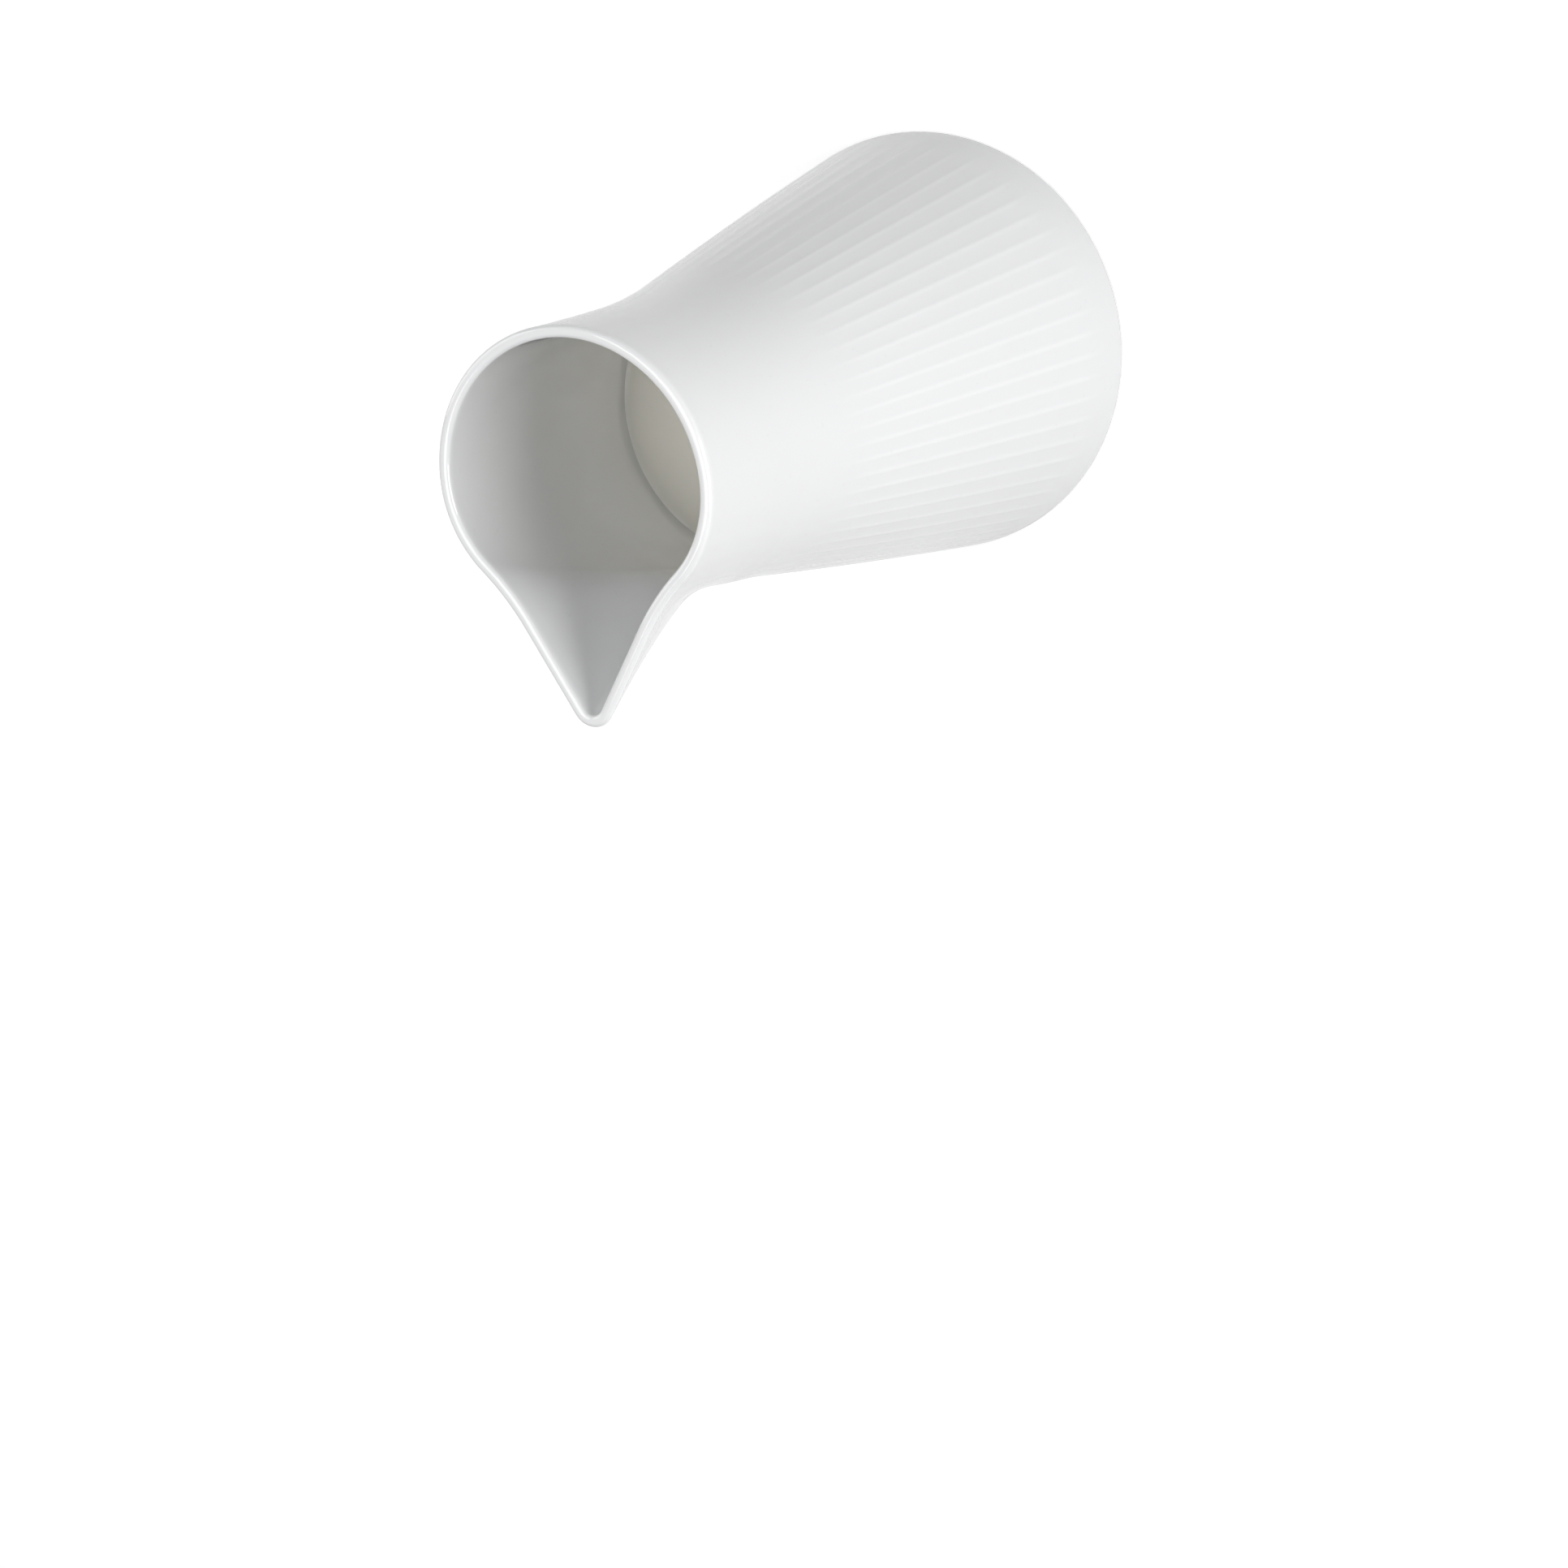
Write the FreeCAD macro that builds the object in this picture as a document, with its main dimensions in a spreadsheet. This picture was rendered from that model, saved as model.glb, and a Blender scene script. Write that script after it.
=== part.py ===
"""A small fluted porcelain milk jug with its milk, standing upright.

Millimetres, +Z up. The origin is at the centre of the foot's underside, and the spout points along +X.
The jug is one solid: a cone with slightly swelling sides and shallow flutes, drawn in to a smooth neck
that is pinched into a spout. The milk is a second solid, which fills the jug up to its level.
"""

import FreeCAD, Part
import os
import Sketcher
from FreeCAD import Placement, Rotation, Vector
from math import acos, atan2, cos, degrees, hypot, pi, radians, sin

DRIVING = (
    # outer shape of the body and the neck
    ("jug_height", 122.6, "from the foot to the rim"),
    ("base_radius", 37.5, "outside, where the side would meet the ground"),
    ("body_swell", 0.26, "how far the side swells out at half of the shoulder's height"),
    ("shoulder_height", 74.8, "where the side starts to turn up into the neck"),
    ("waist_height", 101.0, "where the neck is narrowest"),
    ("waist_radius", 23.16, "outside, at the narrowest place"),
    ("rim_radius", 23.57, "outside, at the rim"),
    # foot
    ("foot_round", 1.2, "edge between the foot and the side"),
    ("foot_width", 3.4, "flat ring that the jug stands on"),
    ("foot_depth", 1.2, "how far the underside is set in"),
    # walls
    ("body_wall", 2.6, "side wall of the body, measured level"),
    ("lip_wall", 1.9, "side wall at the rim"),
    ("floor_height", 4.4, "inside floor above the ground"),
    ("floor_round", 6.0, "inside, between the floor and the side"),
    ("lip_round", 0.75, "both edges of the lip"),
    # spout
    ("spout_start", 86.8, "height at which the spout leaves the neck"),
    ("spout_reach", 37.5, "from the axis to the spout's tip"),
    ("spout_sweep", 1.4, "power of the spout's outward curve"),
    ("tip_angle", 30.6, "degrees from the middle to each side of the spout, at the rim"),
    ("throat_angle", 43.0, "the same at the spout's start"),
    ("tip_round", 3.6, "outside, round the spout's edge at the rim"),
    ("throat_round", 1.0, "the same at the spout's start"),
    ("tip_bore", 1.7, "inside, round the spout's edge at the rim"),
    ("throat_bore", 0.6, "the same at the spout's start"),
    ("tip_hollow", 2.8715, "hollow beside the spout at the rim, for each 1 that the spout stands out"),
    ("throat_hollow", 0.32304, "the same at the spout's start"),
    ("hollow_sweep", 2.6, "power by which that hollow widens upwards"),
    ("pinch", 0.16, "share by which the neck curves tighter beside the spout, at the rim"),
    # flutes
    ("flute_count", 60, "all round the body, with a crest in line with the spout"),
    ("flute_bottom", 8.0, "lower end"),
    ("flute_top", 81.0, "upper end"),
    ("flute_depth", 0.30, "at mid height"),
    ("flute_radius", 3.3, "round the flute's hollow"),
    # milk
    ("milk_level", 66.0, "milk's surface above the ground"),
)

STATIONS = (0.2, 0.4, 0.6, 0.8, 1.0)  # shares of the spout's height at which its outline is drawn
PLAIN_SPLITS = (4, 8, 16)  # degrees from the spout at which the plain neck's circle is divided
LIP_TURNS = (0, 30, 60, 90)  # degrees round the lip's edge at which its outline is drawn
SECTION_POINTS = 12  # for each flute, on the section that shows whether it is cut

doc = FreeCAD.newDocument("MilkJug")
sheet = doc.addObject("Spreadsheet::Sheet", "Sizes")
for row, (alias, value, note) in enumerate(DRIVING, start=1):
    sheet.set(f"A{row}", alias.replace("_", " "))
    sheet.set(f"B{row}", str(value))
    sheet.set(f"C{row}", note)
    sheet.setAlias(f"B{row}", alias)
doc.recompute()


def worked_out(expression):
    """The value of an expression, with which a curve starts before its sketch is solved."""
    return float(sheet.evalExpression(expression))


def placed(across, up):
    """A sketch point from two expressions."""
    return Vector(worked_out(across), worked_out(up), 0)


# Expressions on the sheet. Each gives text that a constraint is bound to.


def shoulder_radius():
    """Outside radius at the shoulder, where the side and the neck have the same slope."""
    side = "(Sizes.base_radius + 4 * Sizes.body_swell) / Sizes.shoulder_height"
    neck_slope = "2 / (Sizes.waist_height - Sizes.shoulder_height)"
    return f"(({side} + Sizes.waist_radius * {neck_slope}) / (1 / Sizes.shoulder_height + {neck_slope}))"


def station_height(share):
    return f"(Sizes.spout_start + {share} * (Sizes.jug_height - Sizes.lip_round - Sizes.spout_start))"


def swelling_radius(height):
    """Outside radius of the body below the shoulder."""
    share = f"({height} / Sizes.shoulder_height)"
    cone = f"Sizes.base_radius + ({shoulder_radius()} - Sizes.base_radius) * {share}"
    return f"({cone} + 4 * Sizes.body_swell * {share} * (1 - {share}))"


def neck_radius(height):
    """Outside radius of the plain neck above the shoulder."""
    fall = f"(Sizes.waist_height - {height}) / (Sizes.waist_height - Sizes.shoulder_height)"
    rise = f"({height} - Sizes.waist_height) / (Sizes.jug_height - Sizes.waist_height)"
    below = f"({shoulder_radius()} - Sizes.waist_radius) * ({fall}) ^ 2"
    above = f"(Sizes.rim_radius - Sizes.waist_radius) * ({rise}) ^ 2"
    return f"(Sizes.waist_radius + ({height} < Sizes.waist_height ? {below} : {above}))"


def outer_radius(height):
    return f"({height} < Sizes.shoulder_height ? {swelling_radius(height)} : {neck_radius(height)})"


def flute_middle():
    return "((Sizes.flute_bottom + Sizes.flute_top) / 2)"


def neck_wall(height):
    """Wall of the neck, which thins evenly from the shoulder to the rim."""
    rise = f"({height} - Sizes.shoulder_height) / (Sizes.jug_height - Sizes.shoulder_height)"
    return f"(Sizes.body_wall + (Sizes.lip_wall - Sizes.body_wall) * {rise})"


def between(start, end, share):
    return f"({start} + ({end} - {start}) * {share})"


def grown(start, end, share, power):
    return f"({start} + ({end} - {start}) * {share} ^ {power})"


class Section:
    """The expressions that give the neck's outline at one height, outside or inside its wall.

    Round the lip, lip_turn is how far the edge has turned over, in degrees: the outline of the outside
    shrinks there, and that of the inside grows.
    """

    def __init__(self, share, inside, lip_turn=0):
        level = station_height(share)
        plain = neck_radius(level)
        wall = neck_wall(level) if inside else "0"
        inset = f"(Sizes.lip_round * (1 - cos({lip_turn} * 1 deg)) * {-1 if inside else 1})"
        reach = grown(plain, "Sizes.spout_reach", share, "Sizes.spout_sweep")
        hollow = grown("Sizes.throat_hollow", "Sizes.tip_hollow", share, "Sizes.hollow_sweep")
        blend = f"({hollow} * (Sizes.spout_reach - Sizes.rim_radius))"
        outer_edge = between("Sizes.throat_round", "Sizes.tip_round", share)
        inner_edge = between("Sizes.throat_bore", "Sizes.tip_bore", share)
        edge = inner_edge if inside else outer_edge
        self.height = f"({level} + Sizes.lip_round * sin({lip_turn} * 1 deg))"
        self.angle = between("Sizes.throat_angle", "Sizes.tip_angle", share)
        self.back = f"({plain} - {wall} - {inset})"
        self.side = f"({plain} * (1 - Sizes.pinch * {share}) - {wall} - {inset})"
        self.blend = f"({blend} + {inset})"
        self.edge = f"({edge} - {inset})"
        self.edge_centre = f"({reach} - {wall} - {edge})"


# Sketches

START, END, CENTRE = 1, 2, 3  # a curve's points, as constraints name them
ORIGIN, LEVEL_AXIS, UPRIGHT_AXIS = (-1, 1), -1, -2  # the sketch's origin and its axes


def attached_sketch(body, name, plane, lift=None, turn=None):
    """A sketch on one of the body's origin planes, lifted off it or turned about the upright axis."""
    sketch = body.newObject("Sketcher::SketchObject", name)
    support = next(each for each in body.Origin.OriginFeatures if each.Role == plane)
    sketch.AttachmentSupport = [(support, "")]
    sketch.MapMode = "FlatFace"
    if lift:
        sketch.setExpression("AttachmentOffset.Base.z", lift)
    if turn:
        sketch.AttachmentOffset = Placement(Vector(), Rotation(Vector(0, 1, 0), worked_out(turn)))
        sketch.setExpression("AttachmentOffset.Rotation.Angle", turn)
    doc.recompute()
    return sketch


def bound(sketch, name, kind, *place, to):
    """A constraint whose value follows an expression."""
    value = worked_out(to)
    if kind == "Angle":
        value = radians(value)
        to = f"({to}) * 1 deg"
    number = sketch.addConstraint(Sketcher.Constraint(kind, *place, value))
    sketch.renameConstraint(number, name)
    sketch.setExpression(f"Constraints.{name}", to)


def arc(centre, radius, start, end):
    """An arc that runs anticlockwise between two angles in degrees."""
    circle = Part.Circle(Vector(*centre, 0), Vector(0, 0, 1), radius)
    return Part.ArcOfCircle(circle, radians(start), radians(end))


def line(start, end):
    return Part.LineSegment(Vector(*start, 0), Vector(*end, 0))


def turned_sketch(body, name, inside):
    """Half of the upright section of the body, up to the spout's start: the outside or the cavity."""
    sketch = attached_sketch(body, name, "XZ_Plane")
    wall = "Sizes.body_wall" if inside else "0"
    low = "Sizes.floor_height" if inside else "0"
    corner_radius = "Sizes.floor_round" if inside else "Sizes.foot_round"
    heights = ("0", "(Sizes.shoulder_height / 2)", "Sizes.shoulder_height")
    radii = [f"({swelling_radius(height)} - {wall})" for height in heights]
    top = "Sizes.spout_start"
    top_radius = f"({neck_radius(top)} - {neck_wall(top) if inside else '0'})"

    # The side is an arc through three heights, and the neck's arc starts upright from its end.
    ground, middle, shoulder = [placed(across, up) for across, up in zip(radii, heights)]
    side_circle = Part.Arc(ground, middle, shoulder).toShape().Curve
    side_centre = side_circle.Center
    outward = (shoulder - side_centre).normalize()
    shoulder_angle = degrees(atan2(outward.y, outward.x))
    neck_end = placed(top_radius, top)
    chord = neck_end - shoulder
    neck_curve = chord.Length**2 / (2 * chord.dot(outward))
    neck_centre = shoulder + outward * neck_curve
    from_neck_centre = neck_end - neck_centre
    neck_angle = degrees(atan2(from_neck_centre.y, from_neck_centre.x)) % 360

    # The corner's arc touches the floor and the side.
    rounding = worked_out(corner_radius)
    floor_up = worked_out(low)
    corner_up = floor_up + rounding
    reach = side_circle.Radius - rounding
    corner_across = side_centre.x + (reach**2 - (corner_up - side_centre.y) ** 2) ** 0.5
    touch = degrees(atan2(corner_up - side_centre.y, corner_across - side_centre.x))

    corner = sketch.addGeometry(arc((corner_across, corner_up), rounding, -90, touch))
    side = sketch.addGeometry(
        arc((side_centre.x, side_centre.y), side_circle.Radius, touch, shoulder_angle)
    )
    neck = sketch.addGeometry(
        arc((neck_centre.x, neck_centre.y), neck_curve, neck_angle, shoulder_angle + 180)
    )
    floor_line = sketch.addGeometry(line((0, floor_up), (corner_across, floor_up)))
    top_line = sketch.addGeometry(line((neck_end.x, neck_end.y), (0, neck_end.y)))
    axis_line = sketch.addGeometry(line((0, neck_end.y), (0, floor_up)))
    ground_mark = sketch.addGeometry(Part.Point(ground), True)
    middle_mark = sketch.addGeometry(Part.Point(middle), True)

    joints = (
        ("Tangent", floor_line, END, corner, START),
        ("Tangent", corner, END, side, START),
        ("Tangent", side, END, neck, END),
        ("Coincident", neck, START, top_line, START),
        ("Coincident", top_line, END, axis_line, START),
        ("Coincident", axis_line, END, floor_line, START),
        ("PointOnObject", axis_line, START, UPRIGHT_AXIS),
        ("Vertical", axis_line),
        ("Horizontal", floor_line),
        ("Horizontal", top_line),
        ("PointOnObject", ground_mark, START, LEVEL_AXIS),
    )
    for joint in joints:
        sketch.addConstraint(Sketcher.Constraint(*joint))
    bound(sketch, "middle_up", "DistanceY", *ORIGIN, middle_mark, START, to=heights[1])
    for label, mark, across in (("ground", ground_mark, radii[0]), ("middle", middle_mark, radii[1])):
        bound(sketch, f"{label}_across", "DistanceX", *ORIGIN, mark, START, to=across)
        sketch.addConstraint(Sketcher.Constraint("PointOnObject", mark, START, side))
    bound(sketch, "corner", "Radius", corner, to=corner_radius)
    bound(sketch, "shoulder_across", "DistanceX", *ORIGIN, side, END, to=radii[2])
    bound(sketch, "shoulder_up", "DistanceY", *ORIGIN, side, END, to=heights[2])
    bound(sketch, "top_across", "DistanceX", *ORIGIN, neck, START, to=top_radius)
    bound(sketch, "top_up", "DistanceY", *ORIGIN, neck, START, to=top)
    if inside:
        bound(sketch, "floor_up", "DistanceY", *ORIGIN, floor_line, START, to=low)
    else:
        sketch.addConstraint(Sketcher.Constraint("PointOnObject", floor_line, START, LEVEL_AXIS))
    return sketch


def mirrored(sketch, pairs):
    """Holds each pair of points level with each other across the spout's middle."""
    for upper, lower in pairs:
        sketch.addConstraint(Sketcher.Constraint("Symmetric", *upper, *lower, LEVEL_AXIS))


def plain_section(body, name, section):
    """The neck's circle at the spout's start, divided into as many curves as the spout's outline has."""
    sketch = attached_sketch(body, name, "XY_Plane", lift=section.height)
    radius = worked_out(section.back)
    angles = [-90, *[-split for split in reversed(PLAIN_SPLITS)], *PLAIN_SPLITS, 90, 270]
    arcs = [
        sketch.addGeometry(arc((0, 0), radius, start, end)) for start, end in zip(angles, angles[1:])
    ]
    back, edge_arc, upper_arcs = arcs[-1], arcs[len(PLAIN_SPLITS)], arcs[len(PLAIN_SPLITS) + 1 : -1]
    for each, following in zip(arcs, arcs[1:] + arcs[:1]):
        sketch.addConstraint(Sketcher.Constraint("Coincident", each, END, following, START))
        if each != edge_arc:
            sketch.addConstraint(Sketcher.Constraint("Coincident", each, CENTRE, *ORIGIN))
    sketch.addConstraint(Sketcher.Constraint("Equal", edge_arc, back))
    bound(sketch, "radius", "Radius", back, to=section.back)
    for end in (START, END):
        sketch.addConstraint(Sketcher.Constraint("PointOnObject", back, end, UPRIGHT_AXIS))
    for split, each, twin in zip(PLAIN_SPLITS, upper_arcs, reversed(arcs[: len(PLAIN_SPLITS)])):
        across = f"{section.back} * sin({split} * 1 deg)"
        bound(sketch, f"split_{split}", "DistanceY", *ORIGIN, each, START, to=across)
        mirrored(sketch, [((each, START), (twin, END))])
    return sketch


def spout_section(body, name, section):
    """The neck's outline with its spout: round back, tighter sides, hollow blends, flanks and edge."""
    sketch = attached_sketch(body, name, "XY_Plane", lift=section.height)
    back, side, blend, edge = [
        worked_out(each) for each in (section.back, section.side, section.blend, section.edge)
    ]
    edge_centre = worked_out(section.edge_centre)
    angle = radians(worked_out(section.angle))
    outward = Vector(sin(angle), cos(angle), 0)
    along = Vector(cos(angle), -sin(angle), 0)
    side_centre = Vector(0, back - side, 0)
    flank = edge_centre * outward.x + edge
    lean = acos((flank + blend - side_centre.dot(outward)) / (side + blend))
    turn = pi / 2 - angle - lean
    blend_centre = side_centre + Vector(cos(turn), sin(turn), 0) * (side + blend)
    flank_start = blend_centre - outward * blend
    flank_end = Vector(edge_centre, 0, 0) + outward * edge
    if (flank_end - flank_start).dot(along) <= 0:
        raise ValueError(f"{name}: the spout's flank has no length")
    turned, leant = degrees(turn), 90 - degrees(angle)

    back_arc = sketch.addGeometry(arc((0, 0), back, 90, 270))
    edge_arc = sketch.addGeometry(arc((edge_centre, 0), edge, -leant, leant))
    halves = []
    for sign in (1, -1):
        side_at, blend_at = (0, sign * side_centre.y), (blend_centre.x, sign * blend_centre.y)
        side_turns = (turned, 90) if sign > 0 else (-90, -turned)
        blend_turns = (180 + turned, 180 + leant) if sign > 0 else (180 - leant, 180 - turned)
        corners = [(each.x, sign * each.y) for each in (flank_end, flank_start)]
        if sign < 0:
            corners.reverse()
        side_arc = sketch.addGeometry(arc(side_at, side, *side_turns))
        blend_arc = sketch.addGeometry(arc(blend_at, blend, *blend_turns))
        flank_line = sketch.addGeometry(line(*corners))
        halves.append((side_arc, blend_arc, flank_line))
    side_arc, blend_arc, flank_line = halves[0]
    low_side, low_blend, low_flank = halves[1]

    joints = (
        ("Coincident", back_arc, CENTRE, *ORIGIN),
        ("PointOnObject", back_arc, START, UPRIGHT_AXIS),
        ("PointOnObject", back_arc, END, UPRIGHT_AXIS),
        ("Tangent", back_arc, START, side_arc, END),
        ("Tangent", side_arc, START, blend_arc, START),
        ("Tangent", blend_arc, END, flank_line, END),
        ("Tangent", flank_line, START, edge_arc, END),
        ("Coincident", edge_arc, START, low_flank, END),
        ("Coincident", low_flank, START, low_blend, START),
        ("Coincident", low_blend, END, low_side, END),
        ("Coincident", low_side, START, back_arc, END),
        ("PointOnObject", edge_arc, CENTRE, LEVEL_AXIS),
        ("Equal", blend_arc, low_blend),
        ("Equal", side_arc, low_side),
        ("Equal", flank_line, low_flank),
    )
    for joint in joints:
        sketch.addConstraint(Sketcher.Constraint(*joint))
    mirrored(sketch, [((side_arc, START), (low_side, END)), ((blend_arc, END), (low_blend, START))])
    bound(sketch, "back", "Radius", back_arc, to=section.back)
    bound(sketch, "side", "Radius", side_arc, to=section.side)
    bound(sketch, "blend", "Radius", blend_arc, to=section.blend)
    bound(sketch, "edge", "Radius", edge_arc, to=section.edge)
    bound(sketch, "edge_centre", "DistanceX", *ORIGIN, edge_arc, CENTRE, to=section.edge_centre)
    bound(sketch, "angle", "Angle", LEVEL_AXIS, START, flank_line, START, to=f"180 - {section.angle}")
    return sketch


def flute_sketch(body, name):
    """The shape whose turning about its own far side cuts one flute, half a flute's turn from the spout."""
    sketch = attached_sketch(body, name, "XZ_Plane", turn="180 / Sizes.flute_count")
    middle = flute_middle()
    points = (
        ("low", outer_radius("Sizes.flute_bottom"), "Sizes.flute_bottom"),
        ("high", outer_radius("Sizes.flute_top"), "Sizes.flute_top"),
        ("mid", f"({outer_radius(middle)} - Sizes.flute_depth)", middle),
    )
    low, high, mid = [placed(across, up) for _, across, up in points]
    upward = (high - low).normalize()
    outward = Vector(upward.y, -upward.x, 0) * worked_out("Sizes.flute_radius")
    axis = sketch.addGeometry(Part.LineSegment(low + outward, high + outward), True)
    spine = sketch.addGeometry(Part.LineSegment(low + outward, high + outward))
    hollow = sketch.addGeometry(Part.Arc(low, mid, high))
    low_end = sketch.addGeometry(Part.LineSegment(low, low + outward))
    high_end = sketch.addGeometry(Part.LineSegment(high, high + outward))
    mark = sketch.addGeometry(Part.Point(mid), True)
    hollow_ends = sorted((START, END), key=lambda end: sketch.getPoint(hollow, end).y)
    joints = (
        ("Coincident", axis, START, spine, START),
        ("Coincident", axis, END, spine, END),
        ("Coincident", hollow, hollow_ends[0], low_end, START),
        ("Coincident", hollow, hollow_ends[1], high_end, START),
        ("Coincident", low_end, END, spine, START),
        ("Coincident", high_end, END, spine, END),
        ("Perpendicular", low_end, spine),
        ("Perpendicular", high_end, spine),
        ("PointOnObject", mark, START, hollow),
    )
    for joint in joints:
        sketch.addConstraint(Sketcher.Constraint(*joint))
    places = ((low_end, START), (high_end, START), (mark, START))
    for (point, across, up), place in zip(points, places):
        bound(sketch, f"{point}_across", "DistanceX", *ORIGIN, *place, to=across)
        bound(sketch, f"{point}_up", "DistanceY", *ORIGIN, *place, to=up)
    bound(sketch, "hollow_radius", "Distance", low_end, to="Sizes.flute_radius")
    return sketch


# Features


def turned(body, kind, name, sketch, axis="V_Axis"):
    """A full revolution or groove of a sketch, checked for its effect."""
    before = body.Shape.Volume if body.Tip else 0
    feature = body.newObject(f"PartDesign::{kind}", name)
    feature.Profile = sketch
    feature.ReferenceAxis = (sketch, [axis])
    feature.Angle = 360
    doc.recompute()
    print(f"{name}: {before:.0f} -> {feature.Shape.Volume:.0f} cubic mm")
    return feature


def lofted(body, kind, name, sketches):
    """A loft through sketches, upwards, checked for its effect."""
    before = body.Shape.Volume
    feature = body.newObject(f"PartDesign::{kind}", name)
    feature.Profile = sketches[0]
    feature.Sections = sketches[1:]
    doc.recompute()
    print(f"{name}: {before:.0f} -> {feature.Shape.Volume:.0f} cubic mm")
    return feature


def lofted_neck(body, kind, name, inside):
    """The neck and its spout from the spout's start up to the lip."""
    plain = plain_section(body, f"{name}_0", Section(0, inside))
    spouted = [
        spout_section(body, f"{name}_{number}", Section(share, inside))
        for number, share in enumerate(STATIONS, start=1)
    ]
    return lofted(body, kind, name, [plain, *spouted])


def lofted_lip(body, kind, name, inside):
    """The rounded edge of the lip: what it adds outside, or what it opens inside."""
    sketches = [
        spout_section(body, f"{name}_{turn}", Section(1, inside, lip_turn=turn)) for turn in LIP_TURNS
    ]
    return lofted(body, kind, name, sketches)


def circle_sketch(body, name, lift, radius):
    sketch = attached_sketch(body, name, "XY_Plane", lift=lift)
    circle = sketch.addGeometry(Part.Circle(Vector(), Vector(0, 0, 1), worked_out(radius)))
    sketch.addConstraint(Sketcher.Constraint("Coincident", circle, CENTRE, *ORIGIN))
    bound(sketch, "radius", "Radius", circle, to=radius)
    return sketch


def pocket(body, name, sketch, length, upwards):
    """A pocket that has to remove something."""
    before = body.Shape.Volume
    feature = body.newObject("PartDesign::Pocket", name)
    feature.Profile = sketch
    feature.Reversed = upwards
    feature.setExpression("Length", length)
    doc.recompute()
    print(f"{name}: {before:.0f} -> {feature.Shape.Volume:.0f} cubic mm")
    if feature.Shape.Volume >= before:
        raise ValueError(f"{name} removes nothing")
    return feature


def check_flutes(shape):
    """Every flute has to be there: the section at mid height dips under the plain surface in each."""
    reach = worked_out(f"{outer_radius(flute_middle())} - Sizes.flute_depth / 2")
    count = round(worked_out("Sizes.flute_count"))
    wires = shape.slice(Vector(0, 0, 1), worked_out(flute_middle()))
    outline = max(wires, key=lambda wire: wire.Length).discretize(SECTION_POINTS * count)
    hollows = [point for point in outline if hypot(point.x, point.y) < reach]
    dips = {atan2(point.y, point.x) % (2 * pi) * count // (2 * pi) for point in hollows}
    if len(dips) != count:
        raise RuntimeError(f"{len(dips)} flutes are cut where {count} belong")


def make_jug():
    body = doc.addObject("PartDesign::Body", "jug")
    turned(body, "Revolution", "Outside", turned_sketch(body, "OutsideProfile", inside=False))

    flute = turned(body, "Groove", "Flute", flute_sketch(body, "FluteProfile"), axis="Axis0")
    flutes = body.newObject("PartDesign::PolarPattern", "Flutes")
    flutes.Originals = [flute]
    upright = next(each for each in body.Origin.OriginFeatures if each.Role == "Z_Axis")
    flutes.Axis = (upright, [""])
    flutes.Angle = 360
    flutes.setExpression("Occurrences", "Sizes.flute_count")
    body.Tip = flutes
    doc.recompute()
    print(f"Flutes: {flutes.Shape.Volume:.0f} cubic mm")

    lofted_neck(body, "AdditiveLoft", "Neck", inside=False)
    lofted_lip(body, "AdditiveLoft", "Lip", inside=False)
    turned(body, "Groove", "Cavity", turned_sketch(body, "CavityProfile", inside=True))
    lofted_neck(body, "SubtractiveLoft", "Mouth", inside=True)
    lofted_lip(body, "SubtractiveLoft", "MouthEdge", inside=True)

    recess_radius = "Sizes.base_radius - Sizes.foot_round - Sizes.foot_width"
    underside = circle_sketch(body, "UndersideOutline", "0", recess_radius)
    pocket(body, "Underside", underside, "Sizes.foot_depth", upwards=True)
    check_flutes(body.Shape)
    return body


def make_milk():
    """What would fill the jug to its rim, cut off at the milk's level."""
    body = doc.addObject("PartDesign::Body", "milk")
    turned(body, "Revolution", "Filling", turned_sketch(body, "FillingProfile", inside=True))
    lofted_neck(body, "AdditiveLoft", "NeckFilling", inside=True)
    outline = circle_sketch(body, "LevelOutline", "Sizes.milk_level", "2 * Sizes.base_radius")
    pocket(body, "Level", outline, "Sizes.jug_height", upwards=True)
    return body


parts = [make_jug(), make_milk()]
doc.recompute()
for each in doc.Objects:
    if {"Invalid", "Error"} & set(each.State):
        raise RuntimeError(f"{each.Name}: {each.getStatusString()}")
os.makedirs("parts", exist_ok=True)
for part in parts:
    if part.Shape.isNull() or not part.Shape.isValid():
        raise RuntimeError(f"{part.Label}: its shape is not valid")
    if len(part.Shape.Solids) != 1:
        raise RuntimeError(f"{part.Label}: {len(part.Shape.Solids)} solids where one belongs")
    part.Shape.exportStep(f"parts/{part.Label}.step")
    print(f"{part.Label}: {part.Shape.Volume / 1000:.1f} ml of solid, {len(part.Shape.Faces)} faces")
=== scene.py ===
"""A small fluted porcelain milk jug with its milk, modelled and finished as a Blender add-on.

Metres, +Z up. The origin is at the centre of the foot's underside, and the spout points along +X.
"""

from math import acos, atan2, cos, degrees, hypot, pi, radians, sin, sqrt

import bmesh
import bpy
from bpy.props import FloatProperty, FloatVectorProperty, IntProperty, PointerProperty
from mathutils import Matrix, Vector


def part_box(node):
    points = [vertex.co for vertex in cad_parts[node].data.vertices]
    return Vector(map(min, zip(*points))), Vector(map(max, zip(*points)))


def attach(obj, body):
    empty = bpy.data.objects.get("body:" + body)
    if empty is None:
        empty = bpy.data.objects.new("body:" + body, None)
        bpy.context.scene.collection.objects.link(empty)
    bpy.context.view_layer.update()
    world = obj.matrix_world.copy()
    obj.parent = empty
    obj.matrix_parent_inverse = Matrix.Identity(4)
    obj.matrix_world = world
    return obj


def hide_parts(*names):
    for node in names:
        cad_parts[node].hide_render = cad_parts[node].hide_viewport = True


bl_info = {
    "name": "Porcelain Milk Jug",
    "version": (1, 0, 0),
    "blender": (4, 5, 0),
    "location": "View3D > Sidebar > Milk Jug",
    "description": "Makes a fluted porcelain milk jug with its milk, and a plain studio round it",
    "category": "Add Mesh",
}

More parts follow.
